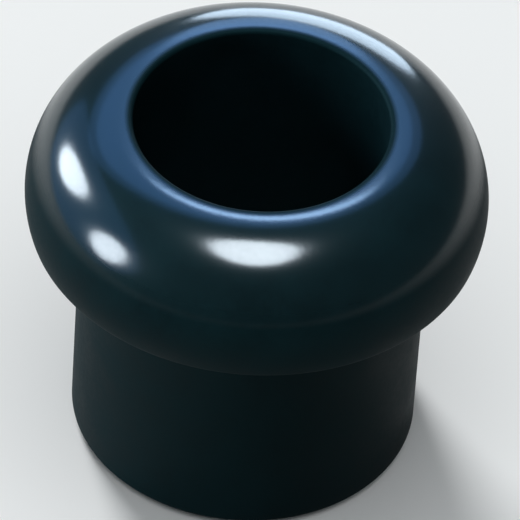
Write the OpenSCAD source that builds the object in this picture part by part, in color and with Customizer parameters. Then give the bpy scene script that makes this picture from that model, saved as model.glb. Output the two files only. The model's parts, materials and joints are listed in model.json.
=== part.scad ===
// Cable grommet: a push-in bush that lines the cut end of a conduit, moulded in one piece.
// A bulb-shaped head with a straight cable bore sits on a plain sleeve, and the sleeve plugs into the tube.
// The grommet is round about Z and stands on the tip of its sleeve.

/* [Head] */
// Diameter of the bulb at its widest line
head_d = 22.5; // [22:0.1:26]
// Radius of the bulb's round section
bulb_r = 4.85; // [4.5:0.05:5.5]
// Depth of the flat seat below the bulb's widest line
seat_drop = 1.61; // [0.8:0.01:2.2]
// Round on the outer edge of the seat
seat_edge_r = 0.35; // [0.1:0.05:0.6]

/* [Bore] */
// Diameter of the cable bore
bore_d = 12.4; // [9:0.1:13.2]
// Round at the mouth of the bore, which the cables bend over
mouth_r = 0.2; // [0.1:0.05:1]

/* [Sleeve] */
// Outside diameter of the sleeve, a press fit in the tube
sleeve_d = 17; // [16:0.1:18.5]
// Length of the sleeve from its tip to the flat seat
sleeve_len = 13; // [6:0.1:25]
// Lead-in chamfer on the outside of the tip
tip_chamfer = 0.45; // [0.1:0.05:0.8]
// Chamfer on the inside of the tip
tip_ease = 0.25; // [0.1:0.05:0.5]
// Round in the corner between the sleeve and the seat
root_r = 0.25; // [0.1:0.05:0.5]

/* [Hidden] */
$fn = 128;

bore_r = bore_d / 2;
sleeve_r = sleeve_d / 2;

// Centre of the bulb's round section
crest_r = head_d / 2 - bulb_r;
widest_z = sleeve_len + seat_drop;
bulb_centre = [crest_r, widest_z];

// The mouth's round touches the bore's wall and runs into the bulb, or into a level land inside the bulb's crest
mouth_centre_r = bore_r + mouth_r;
mouth_offset = max(mouth_centre_r - crest_r, 0);
mouth_rise = sqrt(pow(bulb_r - mouth_r, 2) - pow(mouth_offset, 2));
mouth_centre = [mouth_centre_r, widest_z + mouth_rise];
mouth_end = 90 - asin(mouth_offset / (bulb_r - mouth_r));

// The seat's edge round touches the flat seat and runs into the bulb
edge_drop = seat_drop - seat_edge_r;
edge_angle = asin(edge_drop / (bulb_r - seat_edge_r));
edge_centre = bulb_centre + (bulb_r - seat_edge_r) * [cos(edge_angle), -sin(edge_angle)];

// Direction of a given angle in the section, where 0 points away from the axis and 90 points up
function heading(angle) = [cos(angle), sin(angle)];

// Waste that a round leaves off a corner, between the directions of the round's two ends
module corner_waste(centre, radius, start, end) {
    reach = 2 * radius;
    translate(centre)
        difference() {
            polygon([[0, 0], reach * heading(start), reach * (heading(start) + heading(end)), reach * heading(end)]);
            circle(radius);
        }
}

// Bulb, level inside its crest and cut off flat at the seat
module head_section() {
    intersection() {
        union() {
            translate(bulb_centre) circle(bulb_r);
            square([crest_r, widest_z + bulb_r]);
        }
        translate([0, sleeve_len]) square([head_d, seat_drop + bulb_r]);
    }
}

// Sleeve with its chamfered tip, run up into the head
module sleeve_section() {
    polygon([
        [0, 0],
        [sleeve_r - tip_chamfer, 0],
        [sleeve_r, tip_chamfer],
        [sleeve_r, widest_z],
        [0, widest_z]
    ]);
}

// Fill of the corner under the seat
module root_section() {
    difference() {
        translate([sleeve_r - root_r, sleeve_len - root_r]) square([2 * root_r, 2 * root_r]);
        translate([sleeve_r + root_r, sleeve_len - root_r]) circle(root_r);
    }
}

// Cable bore, opened out at the tip
module bore_section() {
    square([bore_r, widest_z + bulb_r]);
    polygon([[0, 0], [bore_r + tip_ease, 0], [bore_r, tip_ease], [0, tip_ease]]);
}

module grommet() {
    color([0.05, 0.08, 0.09])
        rotate_extrude()
            difference() {
                union() {
                    head_section();
                    sleeve_section();
                    root_section();
                }
                bore_section();
                corner_waste(mouth_centre, mouth_r, 180, mouth_end);
                corner_waste(edge_centre, seat_edge_r, -90, -edge_angle);
            }
}

grommet();
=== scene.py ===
"""Cable grommet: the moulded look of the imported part, and a small photo studio round it.

The file is laid out as an add-on and run as a script. The body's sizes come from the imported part, so the
turned surface lies on the solid that it stands for.
"""
import json
import math
from typing import NamedTuple

import bpy
from bpy.props import FloatProperty, FloatVectorProperty, IntProperty, PointerProperty
from mathutils import Matrix, Vector


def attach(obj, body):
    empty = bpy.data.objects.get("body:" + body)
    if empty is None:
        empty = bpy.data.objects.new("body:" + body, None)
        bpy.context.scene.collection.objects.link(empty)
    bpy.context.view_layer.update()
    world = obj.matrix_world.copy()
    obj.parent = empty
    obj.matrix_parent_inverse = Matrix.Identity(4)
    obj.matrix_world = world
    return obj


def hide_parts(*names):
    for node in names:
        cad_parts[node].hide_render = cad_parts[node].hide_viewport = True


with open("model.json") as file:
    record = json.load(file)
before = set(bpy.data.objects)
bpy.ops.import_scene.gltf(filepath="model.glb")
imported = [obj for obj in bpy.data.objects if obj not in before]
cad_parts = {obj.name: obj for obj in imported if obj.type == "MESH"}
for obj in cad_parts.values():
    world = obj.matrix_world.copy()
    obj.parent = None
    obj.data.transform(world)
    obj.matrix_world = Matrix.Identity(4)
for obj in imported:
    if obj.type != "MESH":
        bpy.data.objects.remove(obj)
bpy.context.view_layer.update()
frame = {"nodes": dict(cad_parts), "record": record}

bl_info = {
    "name": "Cable Grommet",
    "version": (1, 0, 0),
    "blender": (4, 5, 0),
    "location": "View3D > Sidebar > Grommet",
    "description": "Turns a moulded cable grommet from its section and sets a photo studio round it",
    "category": "Add Mesh",
}

MM = 0.001
NODE = "grommet"
BODY = "root"
PIECE = "moulded_grommet"


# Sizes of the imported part

def mount(name):
    """The record's mount of that name."""
    return next(m for m in frame["record"]["mounts"] if m["name"] == name)


def wall_radius(name):
    """Radius of a round mount's wall, in metres."""
    return mount(name)["dims"]["r_mm"] * MM


def wall_ends(name):
    """Heights of the lower and upper end of a round mount's wall, in metres."""
    middle = mount(name)["pos_m"][2]
    half = mount(name)["dims"]["length_mm"] * MM / 2
    return middle - half, middle + half


def circle_through(first, second, third):
    """Centre and radius of the circle through three points of the section."""
    def bisector(point):
        """Line of the places that lie as far from the first point as from this one."""
        square = (math.hypot(*point) ** 2 - math.hypot(*first) ** 2) / 2
        return point[0] - first[0], point[1] - first[1], square

    a, b, c = bisector(second)
    d, e, f = bisector(third)
    span = a * e - b * d
    centre = ((c * e - b * f) / span, (a * f - c * d) / span)
    return centre, math.dist(centre, first)


def inner_round(bulb, across, along):
    """Radius of the round that touches the bulb from inside and a straight wall at its end.

    The wall's end is measured from the bulb's centre, across the wall and along it.
    """
    return (bulb ** 2 - across ** 2 - along ** 2) / (2 * (bulb + across))


def packed_sizes():
    """The section's sizes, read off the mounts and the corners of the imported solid's mesh."""
    points = [(math.hypot(v.co.x, v.co.y), v.co.z) for v in frame["nodes"][NODE].data.vertices]
    bore = wall_radius("cable_bore")
    sleeve = wall_radius("sleeve")
    ease, mouth_height = wall_ends("cable_bore")
    chamfer, root_height = wall_ends("sleeve")
    seat = mount("seat")["pos_m"][2]
    flat = 0.001 * MM
    seat_rim = max(r for r, z in points if abs(z - seat) < flat)
    middle = (seat + mouth_height) / 2
    shoulder = sorted((z, r) for r, z in points if r > sleeve and z > middle)
    low, high = ((r, z) for z, r in (shoulder[0], shoulder[-1]))
    (crest, widest), bulb = circle_through(max(points), low, high)
    return {
        "head": crest + bulb,
        "widest": widest,
        "bulb": bulb,
        "bore": bore,
        "mouth": inner_round(bulb, bore - crest, mouth_height - widest),
        "seat": seat,
        "edge": inner_round(bulb, seat - widest, seat_rim - crest),
        "root": seat - root_height,
        "sleeve": sleeve,
        "chamfer": chamfer,
        "ease": ease,
    }


PACKED = packed_sizes()


# Settings that a user would change

def length(name, about, default):
    """A length in metres."""
    return FloatProperty(name=name, description=about, default=default, min=0, unit="LENGTH", precision=5)


def angle(name, about, degrees):
    """An angle, given in degrees."""
    return FloatProperty(name=name, description=about, default=math.radians(degrees), subtype="ANGLE")


def factor(name, about, default):
    """A share from 0 to 1."""
    return FloatProperty(name=name, description=about, default=default, min=0, max=1, subtype="FACTOR")


def ratio(name, about, default):
    """A plain number from 1 up."""
    return FloatProperty(name=name, description=about, default=default, min=1)


def count(name, about, default, least):
    """A whole number."""
    return IntProperty(name=name, description=about, default=default, min=least)


def colour(name, about, default):
    """A linear colour."""
    return FloatVectorProperty(
        name=name,
        description=about,
        default=default,
        size=3,
        min=0,
        subtype="COLOR",
    )


class GrommetSizes(bpy.types.PropertyGroup):
    """Sizes of the grommet's section"""
    head: length("Head", "Radius of the bulb at its widest line", PACKED["head"])
    widest: length("Widest line", "Height of the bulb's widest line", PACKED["widest"])
    bulb: length("Bulb round", "Radius of the bulb's round section", PACKED["bulb"])
    bore: length("Bore", "Radius of the cable bore", PACKED["bore"])
    mouth: length("Mouth round", "Round at the mouth of the bore", PACKED["mouth"])
    seat: length("Seat", "Height of the flat seat under the head", PACKED["seat"])
    edge: length("Seat edge", "Round on the outer edge of the seat", PACKED["edge"])
    root: length("Root round", "Round between the sleeve and the seat", PACKED["root"])
    sleeve: length("Sleeve", "Outside radius of the sleeve", PACKED["sleeve"])
    chamfer: length("Tip chamfer", "Lead-in chamfer outside the tip", PACKED["chamfer"])
    ease: length("Tip ease", "Chamfer inside the tip", PACKED["ease"])
    softness: length("Edge softness", "Width of the soft edges on the tip", 0.08 * MM)
    facet: length("Facet", "Length of a facet along the straight walls", 0.5 * MM)
    turns: count("Segments", "Facets round the axis", 320, 16)
    steps: count("Arc steps", "Points along each small round", 10, 3)
    bulb_steps: count("Bulb steps", "Points along the bulb", 60, 3)


class GrommetFinish(bpy.types.PropertyGroup):
    """Colours and gloss of the moulded plastic"""
    deep: colour("Deep colour", "Darker shade of the plastic", (0.0018, 0.0066, 0.0076))
    pale: colour("Pale colour", "Lighter shade of the plastic", (0.0030, 0.0110, 0.0125))
    cast: colour("Cool cast", "Tint of the shine on the matte plastic", (0.35, 0.88, 1.0))
    shine: factor("Shine", "Strength of the shine on the matte plastic", 0.04)
    matte: factor("Matte", "Roughness of the matte plastic where it is smoothest", 0.50)
    coarse: factor("Coarse", "Roughness of the matte plastic where it is coarsest", 0.65)
    polish: factor("Polish", "Roughness of the polished skin on the crown of the head", 0.15)
    patchy: factor("Patchy", "Share of the polish that is gone where it is thinnest", 0.12)
    polish_start: length("Polish start", "How far above the widest line the polish starts", 1.5 * MM)
    polish_whole: length("Whole polish", "How far above the widest line the polish is whole", 2.9 * MM)
    rub_reach: length("Rubbed edge", "How far out from the mouth the polish is thinned", 0.25 * MM)
    cloud: length("Cloud", "Width of the broad patches of tone", 2.4 * MM)
    grain: length("Grain", "Width of the fine grain", 0.24 * MM)
    ripple: length("Ripple", "Height of the slight waviness that moulding leaves", 0.0036 * MM)
    refraction: ratio("Refraction", "Refractive index of the plastic", 1.59)


class GrommetStage(bpy.types.PropertyGroup):
    """Camera, floor and room of the photo studio"""
    elevation: angle("Elevation", "Angle of the camera above the floor", 44.55)
    roll: angle("Roll", "Turn of the camera about its line of sight", 4.0)
    distance: length("Distance", "From the camera to the point that it looks at", 387 * MM)
    across: length("View width", "Width of the view at the point that the camera looks at", 25.4 * MM)
    aim_side: length("Aim, sideways", "Place of the aimed point beside the axis", 0.38 * MM)
    aim_height: length("Aim, height", "Height of the aimed point", 10.02 * MM)
    floor: colour("Floor", "Colour of the floor", (0.88, 0.90, 0.905))
    surround: colour("Surround", "Light of the room round the studio", (0.025, 0.035, 0.04))


class Lamp(NamedTuple):
    """A flat oval lamp that faces the grommet.

    It stands at an azimuth and an elevation in degrees. Azimuth 0 is behind the grommet, and 90 is to the
    right of it. Its size is a width and a height in metres.
    """
    name: str
    at: tuple
    size: tuple
    radiance: float
    tint: tuple = (1.0, 1.0, 1.0)
    tilt: float = 0.0
    distance: float = 0.5


class Spot(NamedTuple):
    """A round spotlight, placed as a lamp is, that fades towards the edge of its cone."""
    name: str
    at: tuple
    distance: float
    cone: float
    radius: float
    power: float


FRONT = 180
COOL_WHITE = (0.80, 0.91, 1.0)
HAZE_BLUE = (0.65, 0.82, 1.0)
PALE_BLUE = (0.42, 0.66, 1.0)
SKY_BLUE = (0.30, 0.55, 1.0)
DUSK_BLUE = (0.16, 0.42, 1.0)
GROMMET_LAMPS = (
    Lamp("top_softbox", at=(177, 80.5), size=(0.22, 0.25), radiance=20.0, tint=COOL_WHITE),
    Lamp("left_lamp", at=(-65, 22), size=(0.24, 0.155), radiance=18.5, tint=COOL_WHITE, tilt=49),
    Lamp("left_front_lamp", at=(-107, 20), size=(0.165, 0.205), radiance=18.0, tint=COOL_WHITE, tilt=-11),
)
# Coloured cards, which show in the shine and leave the plastic's own colour alone
CARDS = (
    Lamp("left_card", at=(-80, 22), size=(0.90, 0.50), radiance=0.7, tint=DUSK_BLUE),
    Lamp("back_disc", at=(-10, 49), size=(0.42, 0.28), radiance=1.2, tint=DUSK_BLUE),
    Lamp("back_halo", at=(-9, 48), size=(0.57, 0.38), radiance=1.0, tint=DUSK_BLUE),
    Lamp("back_top", at=(2, 55), size=(0.16, 0.05), radiance=15.0, tint=PALE_BLUE),
    Lamp("back_middle", at=(0, 32), size=(0.12, 0.16), radiance=3.5, tint=SKY_BLUE),
    Lamp("back_strip", at=(6, 10), size=(0.25, 0.23), radiance=7.5, tint=HAZE_BLUE),
)
FLOOR_FILL = Lamp("floor_fill", at=(FRONT, 80), size=(1.35, 1.35), radiance=1.2, distance=0.8)
FLOOR_SPOT = Spot("floor_spot", at=(-26, 32), distance=0.9, cone=30, radius=0.16, power=32)


# Node trees

class Quantity:
    """A number inside a node tree: arithmetic on it adds Math nodes."""

    def __init__(self, tree, socket):
        self.tree = tree
        self.socket = socket

    def math(self, operation, *operands):
        node = add_node(self.tree, "ShaderNodeMath", operation=operation)
        for slot, operand in zip(node.inputs, operands):
            feed(self.tree, slot, operand)
        return Quantity(self.tree, node.outputs["Value"])

    def __add__(self, other):
        return self.math("ADD", self, other)

    def __sub__(self, other):
        return self.math("SUBTRACT", self, other)

    def __rsub__(self, other):
        return self.math("SUBTRACT", other, self)

    def __mul__(self, other):
        return self.math("MULTIPLY", self, other)

    def __truediv__(self, other):
        return self.math("DIVIDE", self, other)

    def sqrt(self):
        return self.math("SQRT", self)

    def arccos(self):
        return self.math("ARCCOSINE", self)

    def arcsin(self):
        return self.math("ARCSINE", self)

    def sin(self):
        return self.math("SINE", self)

    def cos(self):
        return self.math("COSINE", self)


def feed(tree, slot, value):
    """Links a value to a socket, or sets it there."""
    if isinstance(value, Quantity):
        tree.links.new(value.socket, slot)
    elif isinstance(value, bpy.types.NodeSocket):
        tree.links.new(value, slot)
    else:
        slot.default_value = value


def feed_all(tree, node, values):
    """Feeds a node's named inputs."""
    for name, value in values.items():
        feed(tree, node.inputs[name], value)


def add_node(tree, kind, values=None, **options):
    """Adds a node, sets its options and feeds its named inputs."""
    node = tree.nodes.new(kind)
    for option, value in options.items():
        setattr(node, option, value)
    feed_all(tree, node, values or {})
    return node


class SectionTree:
    """A Geometry Nodes tree that draws the grommet's section with arcs and lines and turns it about Z."""

    LENGTHS = tuple(PACKED) + ("facet",)
    COUNTS = ("turns", "steps", "bulb_steps")
    WELD = 0.0001 * MM

    def __init__(self, name):
        self.tree = bpy.data.node_groups.new(name, "GeometryNodeTree")
        face = self.tree.interface
        face.new_socket("Geometry", in_out="OUTPUT", socket_type="NodeSocketGeometry")
        for label in self.LENGTHS:
            face.new_socket(label, in_out="INPUT", socket_type="NodeSocketFloat")
        for label in self.COUNTS:
            face.new_socket(label, in_out="INPUT", socket_type="NodeSocketInt")
        face.new_socket("material", in_out="INPUT", socket_type="NodeSocketMaterial")
        self.given = add_node(self.tree, "NodeGroupInput").outputs
        self.strokes = []
        self.draw()
        self.turn()

    def size(self, label):
        """A size that the tree is given."""
        return Quantity(self.tree, self.given[label])

    def point(self, radius, height):
        """A point of the section."""
        return add_node(self.tree, "ShaderNodeCombineXYZ", {"X": radius, "Y": height}).outputs["Vector"]

    def arc(self, centre, radius, start, end, steps):
        """Draws an arc between two angles: 0 points away from the axis and a quarter turn points up."""
        drawn = add_node(
            self.tree,
            "GeometryNodeCurveArc",
            {"Resolution": steps, "Radius": radius, "Start Angle": start, "Sweep Angle": end - start},
        )
        placed = add_node(
            self.tree,
            "GeometryNodeTransform",
            {"Geometry": drawn.outputs["Curve"], "Translation": self.point(*centre)},
        )
        self.strokes.append(placed.outputs["Geometry"])

    def line(self, start, end):
        """Draws a straight line."""
        drawn = add_node(
            self.tree,
            "GeometryNodeCurvePrimitiveLine",
            {"Start": self.point(*start), "End": self.point(*end)},
        )
        self.strokes.append(drawn.outputs["Curve"])

    def wall(self, start, end):
        """Draws a long straight line in short facets."""
        self.line(start, end)
        cut = add_node(
            self.tree,
            "GeometryNodeResampleCurve",
            {"Curve": self.strokes.pop(), "Length": self.size("facet")},
            mode="LENGTH",
        )
        self.strokes.append(cut.outputs["Curve"])

    def draw(self):
        """Draws the section from the mouth over the bulb, down the sleeve and back up the bore."""
        size = self.size
        crest = size("head") - size("bulb")
        mouth_reach = size("bulb") - size("mouth")
        mouth_end = ((size("bore") + size("mouth") - crest) / mouth_reach).arccos()
        mouth = (size("bore") + size("mouth"), size("widest") + mouth_reach * mouth_end.sin())
        edge_reach = size("bulb") - size("edge")
        edge_start = ((size("seat") + size("edge") - size("widest")) / edge_reach).arcsin()
        edge = (crest + edge_reach * edge_start.cos(), size("seat") + size("edge"))
        root = (size("sleeve") + size("root"), size("seat") - size("root"))
        outer_tip = (size("sleeve") - size("chamfer"), 0.0)
        inner_tip = (size("bore") + size("ease"), 0.0)

        self.arc(mouth, size("mouth"), math.pi, mouth_end, size("steps"))
        self.arc((crest, size("widest")), size("bulb"), mouth_end, edge_start, size("bulb_steps"))
        self.arc(edge, size("edge"), edge_start, -math.pi / 2, size("steps"))
        self.line((edge[0], size("seat")), (root[0], size("seat")))
        self.arc(root, size("root"), math.pi / 2, math.pi, size("steps"))
        self.wall((size("sleeve"), root[1]), (size("sleeve"), size("chamfer")))
        self.line((size("sleeve"), size("chamfer")), outer_tip)
        self.line(outer_tip, inner_tip)
        self.line(inner_tip, (size("bore"), size("ease")))
        self.wall((size("bore"), size("ease")), (size("bore"), mouth[1]))

    def turn(self):
        """Joins the strokes, sweeps them round the axis and ends the tree."""
        tree = self.tree
        outline = add_node(tree, "GeometryNodeJoinGeometry")
        for stroke in self.strokes:
            tree.links.new(stroke, outline.inputs["Geometry"])
        wire = add_node(tree, "GeometryNodeCurveToMesh", {"Curve": outline.outputs["Geometry"]})
        welded = add_node(
            tree,
            "GeometryNodeMergeByDistance",
            {"Geometry": wire.outputs["Mesh"], "Distance": self.WELD},
        )
        closed = add_node(tree, "GeometryNodeMeshToCurve", {"Mesh": welded.outputs["Geometry"]})
        # A circle carries the section round, and the sweep measures it from the circle outwards
        inward = self.point(self.size("bore") * -1, 0.0)
        moved = add_node(
            tree,
            "GeometryNodeTransform",
            {"Geometry": closed.outputs["Curve"], "Translation": inward},
        )
        circle = add_node(
            tree,
            "GeometryNodeCurvePrimitiveCircle",
            {"Resolution": self.size("turns"), "Radius": self.size("bore")},
        )
        upright = add_node(
            tree,
            "GeometryNodeSetCurveNormal",
            {"Curve": circle.outputs["Curve"]},
            mode="Z_UP",
        )
        swept = add_node(
            tree,
            "GeometryNodeCurveToMesh",
            {"Curve": upright.outputs["Curve"], "Profile Curve": moved.outputs["Geometry"]},
        )
        # The sweep leaves the body head down and inside out, so it is turned over and its faces flipped
        stood = add_node(
            tree,
            "GeometryNodeTransform",
            {"Geometry": swept.outputs["Mesh"], "Rotation": (math.pi, 0.0, 0.0)},
        )
        outward = add_node(tree, "GeometryNodeFlipFaces", {"Mesh": stood.outputs["Geometry"]})
        smooth = add_node(tree, "GeometryNodeSetShadeSmooth", {"Geometry": outward.outputs["Mesh"]})
        real = add_node(tree, "GeometryNodeRealizeInstances", {"Geometry": smooth.outputs["Geometry"]})
        clad = add_node(
            tree,
            "GeometryNodeSetMaterial",
            {"Geometry": real.outputs["Geometry"], "Material": self.given["material"]},
        )
        add_node(tree, "NodeGroupOutput", {"Geometry": clad.outputs["Geometry"]})


# The plastic

# The mottle mixes two layers of soft noise, and mostly stays within the span
MOTTLE_SPAN = (0.3, 0.7)
CLOUD_SHARE = 0.6
CLOUD_DETAIL = 3.0
GRAIN_DETAIL = 2.0


def ramp(tree, value, low, high, at_low, at_high, run="LINEAR"):
    """A value that runs between two ends, evenly or softly, while another runs between its own."""
    node = add_node(
        tree,
        "ShaderNodeMapRange",
        {"Value": value, "From Min": low, "From Max": high, "To Min": at_low, "To Max": at_high},
        interpolation_type=run,
    )
    return Quantity(tree, node.outputs["Result"])


def noise(tree, place, width, detail):
    """Soft noise with patches of the given width."""
    node = add_node(tree, "ShaderNodeTexNoise", {"Vector": place, "Scale": 1 / width, "Detail": detail})
    return Quantity(tree, node.outputs["Fac"])


def uneven_tone(tree, mottle, finish):
    """Colour that runs from the deep shade to the pale one with the mottle."""
    tone = add_node(tree, "ShaderNodeValToRGB", {"Fac": mottle})
    for stop, position, shade in zip(tone.color_ramp.elements, MOTTLE_SPAN, (finish.deep, finish.pale)):
        stop.position = position
        stop.color = (*shade, 1.0)
    return tone.outputs["Color"]


def polish_cover(tree, place, mottle, sizes, finish):
    """How much polish there is: patchy on the crown, none lower down, and rubbed off at the mouth."""
    axes = add_node(tree, "ShaderNodeSeparateXYZ", {"Vector": place}).outputs
    x, y, height = (Quantity(tree, axes[name]) for name in "XYZ")
    radius = (x * x + y * y).sqrt()
    patches = ramp(tree, mottle, *MOTTLE_SPAN, 1.0, 1.0 - finish.patchy)
    start = sizes.widest + finish.polish_start
    whole = sizes.widest + finish.polish_whole
    on_crown = ramp(tree, height, start, whole, 0.0, 1.0, "SMOOTHSTEP")
    rubbed = sizes.bore + sizes.mouth
    unrubbed = ramp(tree, radius, rubbed, rubbed + finish.rub_reach, 0.0, 1.0)
    return patches * on_crown * unrubbed


def make_plastic(sizes, finish):
    """Black plastic with a cool cast: matte, with a polished skin on the crown of the head."""
    material = bpy.data.materials.new("moulded_black_plastic")
    material.use_nodes = True
    tree = material.node_tree
    place = add_node(tree, "ShaderNodeTexCoord").outputs["Object"]
    cloud = noise(tree, place, finish.cloud, CLOUD_DETAIL)
    grain = noise(tree, place, finish.grain, GRAIN_DETAIL)
    mottle = cloud * CLOUD_SHARE + grain * (1 - CLOUD_SHARE)
    ripple = add_node(tree, "ShaderNodeBump", {"Height": mottle, "Distance": finish.ripple})
    surface = {
        "Base Color": uneven_tone(tree, mottle, finish),
        "Roughness": ramp(tree, mottle, *MOTTLE_SPAN, finish.matte, finish.coarse),
        "Normal": ripple.outputs["Normal"],
        "IOR": finish.refraction,
        "Specular IOR Level": finish.shine,
        "Specular Tint": (*finish.cast, 1.0),
        "Coat Weight": polish_cover(tree, place, mottle, sizes, finish),
        "Coat Roughness": finish.polish,
        "Coat IOR": finish.refraction,
        "Coat Normal": ripple.outputs["Normal"],
    }
    feed_all(tree, tree.nodes["Principled BSDF"], surface)
    return material


# The moulded body

# Corners sharper than this are softened, in a few steps, and wide faces lead the shading beside them
SHARP_CORNER = math.radians(30)
SOFT_STEPS = 3
WIDE_FACE_WEIGHT = 100


def make_body(context, sizes, finish):
    """Turns the body, softens the edges of its tip and makes it one plain mesh."""
    piece = put(context, PIECE, bpy.data.meshes.new(PIECE))
    turned = piece.modifiers.new("Turned section", "NODES")
    turned.node_group = SectionTree("turned grommet").tree
    for item in turned.node_group.interface.items_tree:
        if item.in_out == "INPUT" and item.name != "material":
            turned[item.identifier] = getattr(sizes, item.name)
        elif item.in_out == "INPUT":
            turned[item.identifier] = make_plastic(sizes, finish)
    soft = piece.modifiers.new("Soft edges", "BEVEL")
    soft.limit_method = "ANGLE"
    soft.angle_limit = SHARP_CORNER
    soft.width = sizes.softness
    soft.segments = SOFT_STEPS
    weighted = piece.modifiers.new("Even shading", "WEIGHTED_NORMAL")
    weighted.weight = WIDE_FACE_WEIGHT
    evaluated = piece.evaluated_get(context.evaluated_depsgraph_get())
    mesh = bpy.data.meshes.new_from_object(evaluated)
    mesh.name = PIECE
    piece.modifiers.clear()
    piece.data = mesh
    return piece


# The studio

def facing(at, distance, roll=0.0, aim=(0.0, 0.0, 0.0)):
    """Place from which a lamp or the camera faces the aimed point, with its angles in degrees."""
    turn, rise = (math.radians(degrees) for degrees in at)
    away = Vector((math.sin(turn) * math.cos(rise), math.cos(turn) * math.cos(rise), math.sin(rise)))
    place = Matrix.Translation(Vector(aim) + away * distance)
    turned = away.to_track_quat("Z", "Y").to_matrix().to_4x4()
    return place @ turned @ Matrix.Rotation(math.radians(roll), 4, "Z")


def put(context, name, data, place=None):
    """Adds an object to the studio."""
    added = bpy.data.objects.new(name, data)
    context.collection.objects.link(added)
    if place is not None:
        added.matrix_world = place
    return added


def add_floor(context, stage):
    """A wide, plain, dull floor just under the grommet's tip."""
    half = 1.0
    gap = 0.01 * MM
    corners = [(x, y, -gap) for x, y in ((-half, -half), (half, -half), (half, half), (-half, half))]
    mesh = bpy.data.meshes.new("floor")
    mesh.from_pydata(corners, [], [(0, 1, 2, 3)])
    material = bpy.data.materials.new("floor")
    material.use_nodes = True
    tree = material.node_tree
    dull = {"Base Color": (*stage.floor, 1.0), "Roughness": 0.9, "Specular IOR Level": 0.0}
    feed_all(tree, tree.nodes["Principled BSDF"], dull)
    mesh.materials.append(material)
    floor = put(context, "floor", mesh)
    return floor


def lit_group(target):
    """A group for the lamps that light only the target."""
    group = bpy.data.collections.new(f"lit_{target.name}")
    group.objects.link(target)
    return group


def put_light(context, name, data, place, lit):
    """Adds a light that the camera doesn't see and that lights only the given group."""
    light = put(context, name, data, place)
    light.visible_camera = False
    light.light_linking.receiver_collection = lit
    return light


def add_lamp(context, lamp, lit):
    """A flat oval lamp that lights only the given group."""
    width, height = lamp.size
    data = bpy.data.lights.new(lamp.name, "AREA")
    data.shape = "ELLIPSE"
    data.size = width
    data.size_y = height
    data.color = lamp.tint
    area = math.pi / 4 * width * height
    data.energy = math.pi * lamp.radiance * area
    return put_light(context, lamp.name, data, facing(lamp.at, lamp.distance, lamp.tilt), lit)


def add_spot(context, spot, lit):
    """A soft spotlight that lights only the given group."""
    data = bpy.data.lights.new(spot.name, "SPOT")
    data.energy = spot.power
    data.spot_size = math.radians(spot.cone)
    data.spot_blend = 1.0
    data.shadow_soft_size = spot.radius
    return put_light(context, spot.name, data, facing(spot.at, spot.distance), lit)


def add_camera(context, stage):
    """The camera, at the photo's height and roll."""
    data = bpy.data.cameras.new("photo_camera")
    data.lens = data.sensor_width * stage.distance / stage.across
    at = (FRONT, math.degrees(stage.elevation))
    aim = (stage.aim_side, 0.0, stage.aim_height)
    place = facing(at, stage.distance, math.degrees(stage.roll), aim)
    context.scene.camera = put(context, "photo_camera", data, place)


def set_world(context, stage):
    """A dim, even room."""
    world = bpy.data.worlds.new("room")
    world.use_nodes = True
    world.node_tree.nodes["Background"].inputs["Color"].default_value = (*stage.surround, 1.0)
    context.scene.world = world


# Operators and panel

class GROMMET_OT_mould(bpy.types.Operator):
    """Turn the grommet's body from its section"""
    bl_idname = "grommet.mould"
    bl_label = "Mould Grommet"
    bl_options = {"REGISTER", "UNDO"}

    def execute(self, context):
        piece = make_body(context, context.scene.grommet_sizes, context.scene.grommet_finish)
        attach(piece, BODY)
        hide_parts(NODE)
        return {"FINISHED"}


class GROMMET_OT_stage(bpy.types.Operator):
    """Set the floor, the lamps and the camera round the grommet"""
    bl_idname = "grommet.stage"
    bl_label = "Set Stage"
    bl_options = {"REGISTER", "UNDO"}

    def execute(self, context):
        stage = context.scene.grommet_stage
        floor = add_floor(context, stage)
        on_grommet = lit_group(bpy.data.objects[PIECE])
        on_floor = lit_group(floor)
        for lamp in GROMMET_LAMPS:
            add_lamp(context, lamp, on_grommet)
        for card in CARDS:
            add_lamp(context, card, on_grommet).visible_diffuse = False
        add_lamp(context, FLOOR_FILL, on_floor)
        add_spot(context, FLOOR_SPOT, on_floor)
        add_camera(context, stage)
        set_world(context, stage)
        context.scene.view_settings.view_transform = "Standard"
        return {"FINISHED"}


class GROMMET_PT_panel(bpy.types.Panel):
    """Sidebar panel with the grommet's settings"""
    bl_idname = "GROMMET_PT_panel"
    bl_label = "Cable Grommet"
    bl_space_type = "VIEW_3D"
    bl_region_type = "UI"
    bl_category = "Grommet"

    def draw(self, context):
        scene = context.scene
        for group in (scene.grommet_sizes, scene.grommet_finish, scene.grommet_stage):
            box = self.layout.box()
            for name in group.__annotations__:
                box.prop(group, name)
        self.layout.operator(GROMMET_OT_mould.bl_idname)
        self.layout.operator(GROMMET_OT_stage.bl_idname)


CLASSES = (
    GrommetSizes,
    GrommetFinish,
    GrommetStage,
    GROMMET_OT_mould,
    GROMMET_OT_stage,
    GROMMET_PT_panel,
)
SETTINGS = {
    "grommet_sizes": GrommetSizes,
    "grommet_finish": GrommetFinish,
    "grommet_stage": GrommetStage,
}


def register():
    for kind in CLASSES:
        bpy.utils.register_class(kind)
    for name, group in SETTINGS.items():
        setattr(bpy.types.Scene, name, PointerProperty(type=group))


def unregister():
    for name in SETTINGS:
        delattr(bpy.types.Scene, name)
    for kind in reversed(CLASSES):
        bpy.utils.unregister_class(kind)


def main():
    register()
    bpy.ops.grommet.mould()
    bpy.ops.grommet.stage()


if __name__ == "__main__":
    main()
